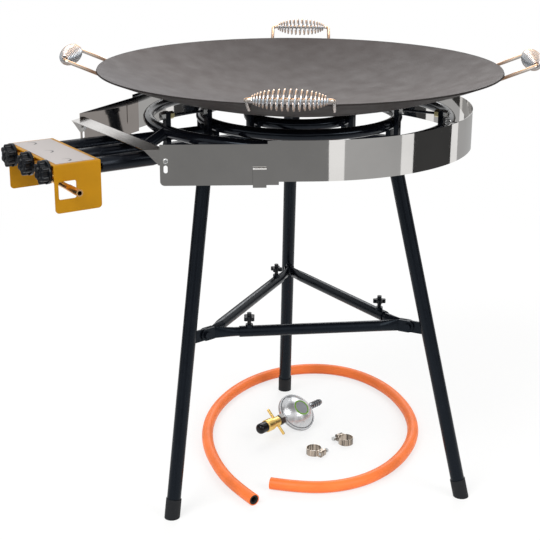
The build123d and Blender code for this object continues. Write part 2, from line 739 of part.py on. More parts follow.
# Control bracket, its label plate and the gas pieces that it covers
def control_bracket():
    half = BRACKET_WIDTH / 2
    bottom = BRACKET_TOP - BRACKET_DROP
    top = block((-half, BRACKET_FRONT, BRACKET_UNDERSIDE), (half, BRACKET_BACK, BRACKET_TOP))
    side = Rectangle(BRACKET_DEPTH, BRACKET_DROP)
    side = fillet(side.vertices().group_by(Axis.Y)[0], BRACKET_CORNER)
    middle = (BRACKET_FRONT + BRACKET_BACK) / 2
    wall = Plane(origin=(0, middle, (bottom + BRACKET_TOP) / 2), x_dir=(0, 1, 0), z_dir=(1, 0, 0)) * side
    wall = extrude(wall, amount=BRACKET_SHEET)
    bracket = top + Pos(-half, 0, 0) * wall + Pos(half - BRACKET_SHEET, 0, 0) * wall
    window = RectangleRounded(WINDOW_WIDTH, WINDOW_HEIGHT, WINDOW_CORNER)
    window_y = BRACKET_FRONT + WINDOW_FRONT_MARGIN + WINDOW_WIDTH / 2
    window_z = BRACKET_TOP - WINDOW_BELOW_TOP - WINDOW_HEIGHT / 2
    hole = Plane(origin=(half - 2 * BRACKET_SHEET, window_y, window_z), x_dir=(0, 1, 0), z_dir=(1, 0, 0))
    bracket -= extrude(hole * window, amount=3 * BRACKET_SHEET)
    for place in TUBE_PLACES:
        front, back = Vector(place, VENTURI_FRONT, GAS_HEIGHT), Vector(place, BRACKET_BACK + CUT, GAS_HEIGHT)
        bracket -= rod(front, back, VENTURI_TUBE / 2)
    folds = bracket.edges().filter_by(Axis.Y).group_by(Axis.Z)[-1]
    return fillet(folds, BRACKET_SHEET)


def label_plate():
    low = (-BRACKET_WIDTH / 2 + LABEL_MARGIN, BRACKET_FRONT + LABEL_MARGIN, BRACKET_TOP)
    high = (BRACKET_WIDTH / 2 - LABEL_MARGIN, BRACKET_BACK - LABEL_MARGIN, BRACKET_TOP + LABEL_SHEET)
    return block(low, high)


def gas_manifold():
    """The pipe under the taps; its right end is the stepped hose nozzle."""
    axis_y, height = MANIFOLD_Y, MANIFOLD_HEIGHT
    tip = NOZZLE_SHOULDER + NOZZLE_LENGTH
    pipe = rod((-MANIFOLD_END, axis_y, height), (NOZZLE_SHOULDER, axis_y, height), MANIFOLD_TUBE / 2)
    pipe += rod((NOZZLE_SHOULDER, axis_y, height), (tip, axis_y, height), NOZZLE_TUBE / 2)
    closed = (-MANIFOLD_END + GAS_WALL, axis_y, height)
    return pipe - rod(closed, (tip + CUT, axis_y, height), NOZZLE_BORE / 2)


def gas_taps():
    taps = []
    for place in TUBE_PLACES:
        barrel = rod((place, TAP_FRONT, GAS_HEIGHT), (place, INJECTOR_FRONT, GAS_HEIGHT), TAP_BARREL / 2)
        barrel += hexagon((place, BONNET_FRONT, GAS_HEIGHT), (place, TAP_FRONT, GAS_HEIGHT), TAP_BONNET_FLATS)
        barrel += rod((place, MANIFOLD_Y, MANIFOLD_HEIGHT), (place, MANIFOLD_Y, GAS_HEIGHT), TAP_STEM / 2)
        deep = BONNET_FRONT + SPINDLE_DEPTH
        barrel -= rod(
            (place, BONNET_FRONT - CUT, GAS_HEIGHT), (place, deep + CUT, GAS_HEIGHT), SPINDLE / 2 + BORE_GAP
        )
        pipe = rod(
            (place - TAP_BARREL, MANIFOLD_Y, MANIFOLD_HEIGHT),
            (place + TAP_BARREL, MANIFOLD_Y, MANIFOLD_HEIGHT),
            MANIFOLD_TUBE / 2,
        )
        taps.append(one(barrel - pipe))
    return taps


def injectors():
    jets = []
    for place in TUBE_PLACES:
        front, seat = Vector(place, INJECTOR_FRONT, GAS_HEIGHT), Vector(place, VENTURI_FRONT, GAS_HEIGHT)
        tip = seat + Vector(0, INJECTOR_REACH, 0)
        jet = hexagon(front, seat, INJECTOR_FLATS) + rod(seat, tip, INJECTOR_THREAD / 2)
        jets.append(one(jet - rod(front, tip, INJECTOR_JET / 2)))
    return jets


def tap_spindle(place):
    inner, outer = BONNET_FRONT + SPINDLE_DEPTH, KNOB_BACK - SPINDLE_GRIP
    return rod((place, inner, GAS_HEIGHT), (place, outer, GAS_HEIGHT), SPINDLE / 2)


def knob(place):
    face = Plane(origin=(place, KNOB_BACK, GAS_HEIGHT), x_dir=(0, 0, 1), z_dir=(0, -1, 0))
    grip = extrude(face * star(KNOB_DIAMETER, KNOB_VALLEY, KNOB_LOBE, KNOB_LOBES), amount=KNOB_LENGTH)
    grip = fillet(grip.edges().group_by(Axis.Y)[0], KNOB_EDGE)
    front, floor = (place, KNOB_FRONT, GAS_HEIGHT), (place, KNOB_FRONT + KNOB_DISH_DEPTH, GAS_HEIGHT)
    grip -= taper(front, floor, KNOB_DISH / 2, KNOB_DISH_FLOOR / 2)
    back = Vector(place, KNOB_BACK, GAS_HEIGHT)
    grip += rod(back, back - Vector(0, KNOB_SKIRT_LENGTH, 0), KNOB_SKIRT / 2)
    bore = (place, KNOB_BACK - SPINDLE_GRIP, GAS_HEIGHT)
    return grip - rod((place, KNOB_BACK + CUT, GAS_HEIGHT), bore, SPINDLE / 2)


# Tripod legs with their brace lugs, and the foot caps
def leg_at_brace(index):
    """The leg's axis at the braces, and the level direction from there towards the burner's axis."""
    top, foot = leg_ends(index)
    spot = foot + (top - foot) * (BRACE_HEIGHT / top.Z)
    return spot, Vector(-spot.X, -spot.Y, 0).normalized()


def eye_plate(origin, along, length, thick):
    """A flat bar with a round end and a bolt hole at its origin, standing upright."""
    across = Vector(0, 0, 1).cross(along)
    outline = Circle(LUG_HEIGHT / 2) + Pos(length / 2, 0) * Rectangle(length, LUG_HEIGHT)
    outline -= Circle(BOLT_THREAD / 2 + BOLT_HOLE_GAP)
    return extrude(Plane(origin=origin, x_dir=along, z_dir=across) * outline, amount=thick / 2, both=True)


def leg(index):
    top, foot = leg_ends(index)
    up = leg_heading(index)
    low, high = foot + up * CAP_FLOOR, top - up * (SOCKET_ROOF + PAN_SEAT_GAP)
    spot, inward = leg_at_brace(index)
    tube = rod(low, high, LEG_TUBE / 2)
    tube += eye_plate(spot + inward * LUG_REACH, inward * -1, LUG_REACH, LUG_THICK)
    return tube - rod(low, high, LEG_TUBE / 2 - LEG_WALL)


def foot_caps():
    caps = []
    for index in range(3):
        foot, up = leg_ends(index)[1], leg_heading(index)
        cap = rod(foot - up * CAP_TUBE, foot + up * CAP_HEIGHT, CAP_TUBE / 2)
        cap -= rod(foot + up * CAP_FLOOR, foot + up * (CAP_HEIGHT + CUT), LEG_TUBE / 2)
        below = Pos(foot.X, foot.Y, -CAP_TUBE) * Box(3 * CAP_TUBE, 3 * CAP_TUBE, 2 * CAP_TUBE)
        caps.append(one(cap - below))
    return caps


# Braces: a slider from one leg runs in a sleeve from the next, locked by a screw
def tab_frame(index, other):
    """The eye of a brace's flat end on a leg's lug, and the direction of that end."""
    spot, inward = leg_at_brace(index)
    across = Vector(0, 0, 1).cross(inward)
    towards = leg_at_brace(other)[0] - spot
    side = 1 if across.dot(towards) > 0 else -1
    return spot + inward * LUG_REACH + across * (side * (LUG_THICK + TAB_THICK) / 2), inward


def brace_run(index):
    """Where a brace's two flat ends stop, and the direction from the first to the second."""
    other = (index + 1) % 3
    first_eye, first_in = tab_frame(index, other)
    second_eye, second_in = tab_frame(other, index)
    first, second = first_eye + first_in * TAB_LENGTH, second_eye + second_in * TAB_LENGTH
    return first, second, (second - first).normalized()


def flat_end(index, other, heading, radius):
    """A brace's flattened end: the tab on the lug, and the swell from flat to round."""
    eye, inward = tab_frame(index, other)
    flat = eye + inward * TAB_LENGTH
    level = Vector(0, 0, 1)
    swell = loft([
        Plane(origin=flat, x_dir=level, z_dir=inward) * Ellipse(LUG_HEIGHT / 2, TAB_THICK / 2),
        Plane(origin=flat + heading * BRACE_FLARE, x_dir=level, z_dir=heading) * Circle(radius),
    ])
    return eye_plate(eye, inward, TAB_LENGTH, TAB_THICK) + swell


def brace_sleeve(index):
    other = (index + 1) % 3
    first, second, heading = brace_run(index)
    mouth = first + heading * (BRACE_FLARE + SLIDER_SHOWS)
    closed = second - heading * BRACE_FLARE
    sleeve = rod(mouth, closed, SLEEVE_TUBE / 2) + flat_end(other, index, heading * -1, SLEEVE_TUBE / 2)
    lock = mouth + heading * LOCK_SETBACK
    up = Vector(0, 0, 1)
    sleeve += rod(lock, lock + up * (SLEEVE_TUBE / 2 + LOCK_BOSS_RISE), LOCK_BOSS / 2)
    sleeve -= rod(lock, lock + up * SLEEVE_TUBE, LOCK_THREAD / 2 + BORE_GAP)
    return sleeve - rod(mouth, closed, SLEEVE_TUBE / 2 - SLEEVE_WALL)


def brace_slider(index):
    first, _, heading = brace_run(index)
    round_start = first + heading * BRACE_FLARE
    end = round_start + heading * (SLIDER_SHOWS + SLIDER_INSERT)
    slider = rod(round_start, end, SLIDER_TUBE / 2) - rod(round_start, end, SLIDER_TUBE / 2 - SLIDER_WALL)
    return slider + flat_end(index, (index + 1) % 3, heading, SLIDER_TUBE / 2)


def lock_screw(index):
    first, _, heading = brace_run(index)
    lock = first + heading * (BRACE_FLARE + SLIDER_SHOWS + LOCK_SETBACK)
    up = Vector(0, 0, 1)
    tip = lock + up * (SLIDER_TUBE / 2 + LOCK_TIP_GAP)
    head = lock + up * (SLEEVE_TUBE / 2 + LOCK_BOSS_RISE + LOCK_SHANK_RISE)
    star_head = Rot(0, 0, LOCK_TURNS[index]) * star(LOCK_HEAD, LOCK_VALLEY, LOCK_LOBE, LOCK_LOBES)
    hub = rod(head, head + up * (LOCK_HEAD_THICK + LOCK_HUB_RISE), LOCK_HUB / 2)
    return rod(tip, head, LOCK_THREAD / 2) + extrude(Plane(head) * star_head, amount=LOCK_HEAD_THICK) + hub


def brace_bolts():
    bolts = []
    half = LUG_THICK / 2 + TAB_THICK
    for index in range(3):
        spot, inward = leg_at_brace(index)
        across = Vector(0, 0, 1).cross(inward)
        eye = spot + inward * LUG_REACH
        near, far = eye - across * half, eye + across * half
        bolt = rod(near, far, BOLT_THREAD / 2)
        bolt += hexagon(near - across * BOLT_HEAD, near, BOLT_FLATS)
        bolt += hexagon(far, far + across * BOLT_HEAD, BOLT_FLATS)
        bolts.append(one(bolt))
    return bolts


# Gas hose, a plain cut length in a loop on the floor
def hose_path():
    points = [Vector(x, y, HOSE_HEIGHT) for x, y in HOSE_ROUTE]
    radii = []
    for before, here, after in zip(points, points[1:], points[2:]):
        turn = math.radians((here - before).get_angle(after - here))
        shorter = min((here - before).length, (after - here).length)
        radii.append(HOSE_BEND_SHARE * shorter / math.tan(turn / 2))
    return points, radii, FilletPolyline(*points, radius=radii)


def gas_hose():
    points, radii, path = hose_path()
    mouth = Plane(origin=points[0], z_dir=points[1] - points[0])
    ring = mouth * (Circle(HOSE_TUBE / 2) - Circle(HOSE_BORE / 2))
    hose = sweep(ring, path=path)
    expected = math.pi * (HOSE_TUBE**2 - HOSE_BORE**2) / 4 * path.length
    print(f"hose length {path.length:.0f}, bend radii {[round(radius) for radius in radii]}")
    print(f"hose volume over section times length: {hose.volume / expected:.5f}")
    return hose


# Regulator, modelled with its inlet along +X and its crown up, then laid on the floor
def regulator_place():
    """The frame of the regulator as it lies: turned, tipped over its flange and set on the floor."""
    tilt = math.radians(REGULATOR_TILT)
    half = REGULATOR_FLANGE / 2
    flange_reach = REGULATOR_BODY / 2 * math.sin(tilt) + half * math.cos(tilt)
    back_reach = REGULATOR_BACK_FACE / 2 * math.sin(tilt) + (half + REGULATOR_BACK) * math.cos(tilt)
    wing_reach = math.hypot(WING_SPAN, WING_ROD) / 2
    rise = max(flange_reach, back_reach, wing_reach) + FLOOR_GAP
    return Pos(REGULATOR_X, REGULATOR_Y, rise) * Rot(0, 0, REGULATOR_HEADING) * Rot(-REGULATOR_TILT, 0, 0)


def regulator_body():
    edge, crown, foot = REGULATOR_BODY / 2, REGULATOR_CROWN / 2, REGULATOR_BACK_FACE / 2
    half = REGULATOR_FLANGE / 2
    shoulder, top = Vector(edge - half, 0, half), Vector(crown, 0, half + REGULATOR_DOME)
    slope = (top - shoulder).normalized()
    swell = (shoulder + top) * 0.5 + Vector(slope.Z, 0, -slope.X) * REGULATOR_SWELL
    outline = [
        ThreePointArc(shoulder, swell, top),
        Polyline(
            top, (0, 0, top.Z), (0, 0, -half - REGULATOR_BACK), (foot, 0, -half - REGULATOR_BACK),
            (edge - half, 0, -half), (edge, 0, -half), (edge, 0, half), shoulder,
        ),
    ]
    body = revolve(make_face(outline), Axis.Z)
    body += rod((0, 0, 0), (INLET_LENGTH, 0, 0), INLET_TUBE / 2)
    return body - rod((INLET_LENGTH / 2, 0, 0), (INLET_LENGTH + CUT, 0, 0), TAIL_BORE / 2)


def nut_start():
    return REGULATOR_BODY / 2 + WING_NUT_SETBACK


def wing_nut():
    """A barrel with two round wings, and a wider collar with rounded edges next to the nose."""
    start, end = nut_start(), nut_start() + WING_NUT_LENGTH
    step = start + WING_BARREL_LENGTH
    collar = rod((step, 0, 0), (end, 0, 0), WING_NUT / 2)
    collar = fillet(collar.edges().filter_by(GeomType.CIRCLE), WING_NUT / 10)
    barrel = rod((start, 0, 0), ((step + end) / 2, 0, 0), WING_BARREL / 2)
    wing_at = start + WING_ROD
    wings = rod((wing_at, -WING_SPAN / 2, 0), (wing_at, WING_SPAN / 2, 0), WING_ROD / 2)
    wings = fillet(wings.edges().filter_by(GeomType.CIRCLE), WING_ROD / 4)
    bore = rod((start - CUT, 0, 0), (end + CUT, 0, 0), INLET_TUBE / 2 + BORE_GAP)
    return barrel + collar + wings - bore


def nose_seal():
    start = nut_start() + WING_NUT_LENGTH + PAN_SEAT_GAP
    seal = rod((start, 0, 0), (start + NOSE_LENGTH, 0, 0), NOSE / 2)
    seal = fillet(seal.edges().sort_by(Axis.X)[-1], NOSE / 3)
    return seal - rod((start - CUT, 0, 0), (INLET_LENGTH, 0, 0), INLET_TUBE / 2)


def regulator_tail():
    start = -REGULATOR_BODY / 2
    tail = rod((start, 0, 0), (start - TAIL_LENGTH, 0, 0), TAIL_TUBE / 2)
    step = TAIL_LENGTH / (TAIL_BARBS + 1)
    for index in range(TAIL_BARBS):
        here = start - step * (index + 1)
        tail += taper((here, 0, 0), (here - step, 0, 0), TAIL_BARB / 2, TAIL_TUBE / 2)
    tail -= rod((start - CUT, 0, 0), (start - TAIL_LENGTH - CUT, 0, 0), TAIL_BORE / 2)
    return tail - Cylinder(REGULATOR_BODY / 2, REGULATOR_FLANGE)


# Hose clips: a band with its worm housing, and the worm screw in it
def clip_housing_at():
    return CLIP_BAND / 2 + CLIP_HOUSING_DEPTH / 2 - CLIP_SHEET / 2


def clip_place(index):
    x, y, heading = CLIP_PLACES[index]
    return Pos(x, y, CLIP_WIDTH / 2 + FLOOR_GAP) * Rot(0, 0, heading)


def clip_bands():
    clips = []
    at = clip_housing_at()
    for index in range(len(CLIP_PLACES)):
        housing = Pos(at, 0, 0) * Box(CLIP_HOUSING_DEPTH, CLIP_HOUSING_LENGTH, CLIP_WIDTH)
        housing = fillet(housing.edges().filter_by(Axis.Y).group_by(Axis.X)[-1], CLIP_WIDTH / 4)
        clip = Cylinder(CLIP_BAND / 2, CLIP_WIDTH) + housing
        clip -= Cylinder(CLIP_BAND / 2 - CLIP_SHEET, CLIP_WIDTH)
        reach = CLIP_HOUSING_LENGTH
        clip -= rod((at, -reach, 0), (at, reach, 0), CLIP_SCREW / 2 + BORE_GAP)
        clips.append(one(clip_place(index) * clip))
    return clips


def clip_screw(index):
    at, half = clip_housing_at(), CLIP_HOUSING_LENGTH / 2
    start = -half + CLIP_SHEET
    end = start + CLIP_SCREW_LENGTH - CLIP_SCREW_HEAD
    screw = rod((at, start, 0), (at, end, 0), CLIP_SCREW / 2)
    screw += hexagon((at, end, 0), (at, end + CLIP_SCREW_HEAD, 0), CLIP_SCREW_FLATS)
    return clip_place(index) * screw


def export(name, shape):
    """Write one node: a single solid, or a group of separate ones."""
    group = shape if isinstance(shape, list) else [one(shape)]
    export_step(group[0] if len(group) == 1 else Compound(group), f"parts/{name}.step")


def build():
    os.makedirs("parts", exist_ok=True)
    export("pan_bowl", pan_bowl())
    coils = {width: grip_spring(spring_length(width)) for width in sorted(set(HANDLE_WIDTHS))}
    for name, angle, width in zip(HANDLE_NAMES, HANDLE_ANGLES, HANDLE_WIDTHS):
        _, along, grip = handle_frame(width)
        lean = math.degrees(math.atan2(along.Z, along.X))
        export(f"handle_bail_{name}", radial(angle, handle_bail(width)))
        export(f"handle_spring_{name}", radial(angle, Pos(*grip) * Rot(0, -lean, 0) * coils[width]))
    for length in map(spring_length, coils):
        print(f"spring {length:.0f}: {spring_turns(length)} turns, own gap {spring_self_gap(length):.2f}")

    feeds = feed_points()
    export("burner_ring_outer", burner_ring(OUTER_RING, feeds["centre"]))
    export("burner_ring_middle", burner_ring(MIDDLE_RING, feeds["left"]))
    export("burner_ring_inner", burner_ring(INNER_RING, feeds["right"]))
    for name, place, ring in zip(TUBE_NAMES, TUBE_PLACES, (MIDDLE_RING, OUTER_RING, INNER_RING)):
        export(f"venturi_tube_{name}", venturi_tube(name, place, ring))
    centre_tube = tube_core(0.0, feeds["centre"], 0)
    for index, name in enumerate(ARM_NAMES):
        export(f"support_arm_{name}", support_arm(index, centre_tube))
    export("pan_posts", pan_posts())
    export("tie_rods", tie_rods())
    export("tie_rod_nuts", tie_rod_nuts())

    export("windshield_band", windshield_band())
    export("windshield_flap_left", windshield_flap(FLAP_ANGLE_LEFT))
    export("windshield_flap_right", windshield_flap(FLAP_ANGLE_RIGHT))
    export("shield_bridge", shield_bridge())
    export("shield_screws", shield_screws())
    export("shield_hooks", shield_hooks())

    export("control_bracket", control_bracket())
    export("label_plate", label_plate())
    export("gas_manifold", gas_manifold())
    export("gas_taps", gas_taps())
    export("injectors", injectors())
    for name, place in zip(TUBE_NAMES, TUBE_PLACES):
        export(f"tap_spindle_{name}", tap_spindle(place))
        export(f"knob_{name}", knob(place))

    for index, name in enumerate(ARM_NAMES):
        export(f"leg_{name}", leg(index))
        export(f"brace_sleeve_{name}", brace_sleeve(index))
        export(f"brace_slider_{name}", brace_slider(index))
        export(f"lock_screw_{name}", lock_screw(index))
    export("foot_caps", foot_caps())
    export("brace_bolts", brace_bolts())

    export("gas_hose", gas_hose())
    laid = regulator_place()
    export("regulator_body", laid * regulator_body())
    export("regulator_wing_nut", laid * wing_nut())
    export("regulator_nose", laid * nose_seal())
    export("regulator_tail", laid * regulator_tail())
    export("clip_bands", clip_bands())
    for index in range(len(CLIP_PLACES)):
        export(f"clip_screw_{index + 1}", clip_screw(index))


build()
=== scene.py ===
import json
import math

import bpy
from mathutils import Matrix, Vector

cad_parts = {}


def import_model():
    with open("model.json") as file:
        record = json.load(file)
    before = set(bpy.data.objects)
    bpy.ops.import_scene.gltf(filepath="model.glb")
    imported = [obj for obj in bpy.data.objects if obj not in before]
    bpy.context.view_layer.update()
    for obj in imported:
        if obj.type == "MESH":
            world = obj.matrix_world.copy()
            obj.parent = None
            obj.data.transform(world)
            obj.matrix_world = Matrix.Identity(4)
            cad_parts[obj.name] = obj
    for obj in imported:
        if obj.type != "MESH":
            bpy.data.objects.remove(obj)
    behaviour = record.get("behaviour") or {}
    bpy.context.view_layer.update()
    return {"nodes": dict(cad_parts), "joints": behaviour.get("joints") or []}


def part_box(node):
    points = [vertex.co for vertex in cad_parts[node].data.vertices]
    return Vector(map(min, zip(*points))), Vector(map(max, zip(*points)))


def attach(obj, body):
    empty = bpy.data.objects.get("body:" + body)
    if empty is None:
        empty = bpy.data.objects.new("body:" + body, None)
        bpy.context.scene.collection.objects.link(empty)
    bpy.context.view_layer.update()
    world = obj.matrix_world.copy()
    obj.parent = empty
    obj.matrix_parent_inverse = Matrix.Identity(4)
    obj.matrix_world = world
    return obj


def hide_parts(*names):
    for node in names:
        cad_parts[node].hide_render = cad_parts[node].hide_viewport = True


# A griddle pan on a three-ring gas burner with its tripod and loose gas kit
# Metres, +Z up, knobs towards -Y

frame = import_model()
NODES = frame["nodes"]
JOINTS = {joint["name"]: joint for joint in frame["joints"]}

# Camera, fitted to the photograph
CAMERA_PLACE = Vector((2.0770, -1.4172, 1.2653))
CAMERA_HEADING = 2.5647
CAMERA_PITCH = -0.3195
CAMERA_ROLL = 0.0048
CAMERA_LENS = 84.7
CAMERA_SHIFT = -0.0016
CAMERA_REACH = 60.0
SENSOR = 36.0

# Grip springs
HANDLE_ROD = 0.007
HANDLES = {
    # name: length of the spring, its turns, lean of the handle in degrees
    "front": (0.124, 18, 21.15),
    "right": (0.124, 18, 21.15),
    "back": (0.106, 15, 21.23),
    "left": (0.124, 18, 21.15),
}
SPRING_WIRE = 0.0032
SPRING_BELLY = 0.038
SPRING_BORE_GAP = 0.0004
SPRING_PITCH_SWELL = 0.4
SPRING_STEPS = 24

# Gas hose
HOSE_TUBE = 0.025
HOSE_BORE = 0.012
HOSE_COVER = 0.0022
HOSE_HEIGHT = 0.0128
HOSE_END_INSET = 0.0002
HOSE_END_OVERLAP = 0.004
HOSE_END_ROUND = 0.0004
HOSE_END_DISH = 0.0001
HOSE_LAYER_STEP = 0.0003
HOSE_BORE_DEPTH = 0.045
HOSE_ROUTE = (
    (0.131, -0.189), (0.054, -0.192), (-0.042, -0.175), (-0.144, -0.139), (-0.235, -0.083), (-0.312, -0.008),
    (-0.371, 0.086), (-0.398, 0.181), (-0.390, 0.268), (-0.347, 0.339), (-0.271, 0.380), (-0.165, 0.385),
    (-0.054, 0.354), (0.039, 0.302), (0.110, 0.232), (0.163, 0.143), (0.185, 0.055), (0.173, -0.024),
    (0.132, -0.085), (0.089, -0.122),
)

# Regulator trim
HEXAGON = 6
REGULATOR_TILT = math.radians(42.0)
NUT_MIDDLE_FROM_BODY = 0.083
CROWN_HEIGHT = 0.024
BADGE_RADIUS = 0.0185
BADGE_RING = 0.0028
BADGE_SINK = 0.0004
BADGE_SIDE = 0.0008
BADGE_TOP = 0.0014
BADGE_EDGE = 0.0005
PLATE_RIM = 0.0007
PLATE_HALFWAY = 0.00085
PLATE_TOP = 0.0009
PLATE_CENTRE = 0.0001
FLANGE_RADIUS = 0.0455
FLANGE_STEP = 0.0415
FLANGE_HALF = 0.004
STEP_SEAM_WIDTH = 0.0013
STEP_SEAM_EDGE = 0.0002
STEP_SEAM_OUTER_RISE = 0.0005
STEP_SEAM_INNER_RISE = 0.0006
EDGE_SEAM_HALF = 0.0008
EDGE_SEAM_CREST = 0.0005
EDGE_SEAM_RISE = 0.0004
INLET_RADIUS = 0.008
COLLAR_RADIUS = 0.0130
COLLAR_FROM_BODY = 0.047
COLLAR_LENGTH = 0.012
COLLAR_EDGE = 0.0008
COLLAR_GAP = 0.0001

# Label marks
TAP_SPACING = 0.076
MARK_RADIUS = 0.0095
MARK_WIDTH = 0.0032
MARK_LIFT = 0.00015
MARK_TIP = 0.0001
MARK_SETBACK = 0.010
MARK_START = 200.0
MARK_SWEEP = 190.0
MARK_STEPS = 18


def link(obj):
    bpy.context.scene.collection.objects.link(obj)
    return obj


def mesh_object(name, verts, faces, smooth=True):
    mesh = bpy.data.meshes.new(name)
    mesh.from_pydata([tuple(v) for v in verts], [], faces)
    mesh.validate()
    for polygon in mesh.polygons:
        polygon.use_smooth = smooth
    return link(bpy.data.objects.new(name, mesh))


def strip_faces(steps):
    """Quads along a ribbon whose points come in pairs."""
    return [(2 * step, 2 * step + 2, 2 * step + 3, 2 * step + 1) for step in range(steps)]


def lathe(name, profile, origin, axis, segments=48, closed=False):
    """A surface of revolution: profile is (radius, distance along axis) pairs, closed to a ring or open."""
    axis = Vector(axis).normalized()
    side = axis.orthogonal().normalized()
    other = axis.cross(side)
    verts, faces = [], []
    for step in range(segments):
        turn = 2 * math.pi * step / segments
        out = side * math.cos(turn) + other * math.sin(turn)
        verts += [Vector(origin) + out * radius + axis * along for radius, along in profile]
    count = len(profile)
    for step in range(segments):
        here, there = step * count, (step + 1) % segments * count
        for index in range(count if closed else count - 1):
            after = (index + 1) % count
            faces.append((here + index, there + index, there + after, here + after))
    return mesh_object(name, verts, faces, smooth=segments > HEXAGON)


# Shader helpers
class Shader:
    """A material with one Principled shader and short calls for its nodes."""

    def __init__(self, name, color, roughness, metallic=0.0, **sockets):
        self.material = bpy.data.materials.new(name)
        self.material.use_nodes = True
        self.tree = self.material.node_tree
        self.bsdf = self.tree.nodes["Principled BSDF"]
        self.set(self.bsdf, "Base Color", (*color, 1.0))
        self.set(self.bsdf, "Roughness", roughness)
        self.set(self.bsdf, "Metallic", metallic)
        for socket, value in sockets.items():
            self.set(self.bsdf, socket.replace("_", " "), value)
        self.place = self.node("ShaderNodeTexCoord").outputs["Object"]

    def node(self, kind, **settings):
        node = self.tree.nodes.new(kind)
        for key, value in settings.items():
            setattr(node, key, value)
        return node

    def set(self, node, socket, value):
        node.inputs[socket].default_value = value

    def join(self, source, target):
        self.tree.links.new(source, target)

    def scaled(self, scale):
        mapping = self.node("ShaderNodeMapping")
        self.set(mapping, "Scale", scale)
        self.join(self.place, mapping.inputs["Vector"])
        return mapping.outputs["Vector"]

    def noise(self, scale, detail=3.0, stretch=None):
        noise = self.node("ShaderNodeTexNoise")
        self.set(noise, "Scale", scale)
        self.set(noise, "Detail", detail)
        self.join(self.scaled(stretch) if stretch else self.place, noise.inputs["Vector"])
        return noise.outputs["Fac"]

    def math(self, operation, first, second=None):
        node = self.node("ShaderNodeMath", operation=operation)
        for index, value in enumerate((first, second)):
            if value is None:
                continue
            if isinstance(value, (int, float)):
                node.inputs[index].default_value = value
            else:
                self.join(value, node.inputs[index])
        return node.outputs[0]

    def span(self, value, low, high, to_low=0.0, to_high=1.0):
        node = self.node("ShaderNodeMapRange")
        self.set(node, "From Min", low)
        self.set(node, "From Max", high)
        self.set(node, "To Min", to_low)
        self.set(node, "To Max", to_high)
        self.join(value, node.inputs["Value"])
        return node.outputs["Result"]

    def mix(self, factor, first, second):
        node = self.node("ShaderNodeMix", data_type="RGBA")
        self.join(factor, node.inputs["Factor"])
        for socket, value in ((node.inputs[6], first), (node.inputs[7], second)):
            if isinstance(value, tuple):
                socket.default_value = (*value, 1.0)
            else:
                self.join(value, socket)
        return node.outputs[2]

    def paint(self, color):
        self.join(color, self.bsdf.inputs["Base Color"])

    def rough(self, value):
        self.join(value, self.bsdf.inputs["Roughness"])

    def bump(self, height, strength, distance):
        bump = self.node("ShaderNodeBump")
        self.set(bump, "Strength", strength)
        self.set(bump, "Distance", distance)
        self.join(height, bump.inputs["Height"])
        self.join(bump.outputs["Normal"], self.bsdf.inputs["Normal"])

    def axis(self, letter):
        split = self.node("ShaderNodeSeparateXYZ")
        self.join(self.place, split.inputs[0])
        return split.outputs[letter]

    def facing_up(self):
        split = self.node("ShaderNodeSeparateXYZ")
        self.join(self.node("ShaderNodeNewGeometry").outputs["Normal"], split.inputs[0])
        return split.outputs["Z"]

    def from_axis(self):
        """Distance from the burner's axis."""
        x, y = self.axis("X"), self.axis("Y")
        return self.math("SQRT", self.math("ADD", self.math("MULTIPLY", x, x), self.math("MULTIPLY", y, y)))


def tint(color, factor):
    return tuple(channel * factor for channel in color)


# Materials
def pan_steel():
    base = (0.056, 0.043, 0.040)
    s = Shader("pan_steel", base, 0.6, Specular_IOR_Level=0.20)
    cloud = s.noise(3.0, detail=4.0)
    grain = s.noise(620.0, detail=3.0)
    # Painted light and shade: the pan is lighter towards one side and darker towards the other along this
    # slant, with a little cloud noise.
    painted_light_slope = s.math("SUBTRACT", s.math("MULTIPLY", s.axis("X"), 0.6), s.math("MULTIPLY", s.axis("Y"), 0.8))
    painted_light_and_cloud = s.math("ADD", painted_light_slope, s.math("MULTIPLY", s.math("SUBTRACT", cloud, 0.5), 0.12))
    tone = s.mix(s.span(painted_light_and_cloud, -0.05, 0.22), base, (0.066, 0.057, 0.058))
    tone = s.mix(s.span(painted_light_and_cloud, -0.05, -0.30), tone, tint(base, 0.76))
    speck = s.mix(s.span(grain, 0.64, 0.82), tone, tint(base, 1.35))
    # Painted shade: a dark line round the rim's edge.
    edge = s.mix(s.span(s.from_axis(), 0.3978, 0.3984), speck, tint(base, 0.22))
    # Painted shade: faces turned down are darkened.
    painted_underside_shade = s.span(s.facing_up(), -0.3, 0.1)
    s.paint(s.mix(painted_underside_shade, tint(base, 0.42), edge))
    s.rough(s.span(s.noise(30.0, detail=5.0), 0.3, 0.7, 0.57, 0.65))
    s.bump(grain, 0.06, 0.0003)
    return s.material


def chrome(name, top, side, painted_below_reflection, root):
    """Bright plated wire with painted reflections: its colour follows the way it faces, and it turns to the
    root colour next to the pan.
    """
    s = Shader(name, side, 0.15, metallic=0.85)
    # Painted reflections: the top colour on faces turned up, the side colour on the sides and the below
    # colour on faces turned down.
    up = s.facing_up()
    painted_upper_reflection = s.mix(s.span(up, 0.20, 0.75), side, top)
    painted_facing_reflection = s.mix(s.span(up, -0.05, -0.55), painted_upper_reflection, painted_below_reflection)
    # Next to the pan the colour turns to the root colour.
    painted_reflection_tone = s.mix(s.span(s.from_axis(), 0.445, 0.405), painted_facing_reflection, root)
    worn = s.span(s.noise(40.0, detail=3.0), 0.3, 0.8, 0.0, 0.2)
    s.paint(s.mix(worn, painted_reflection_tone, tint(side, 0.6)))
    s.rough(s.span(worn, 0.0, 0.2, 0.13, 0.18))
    return s.material


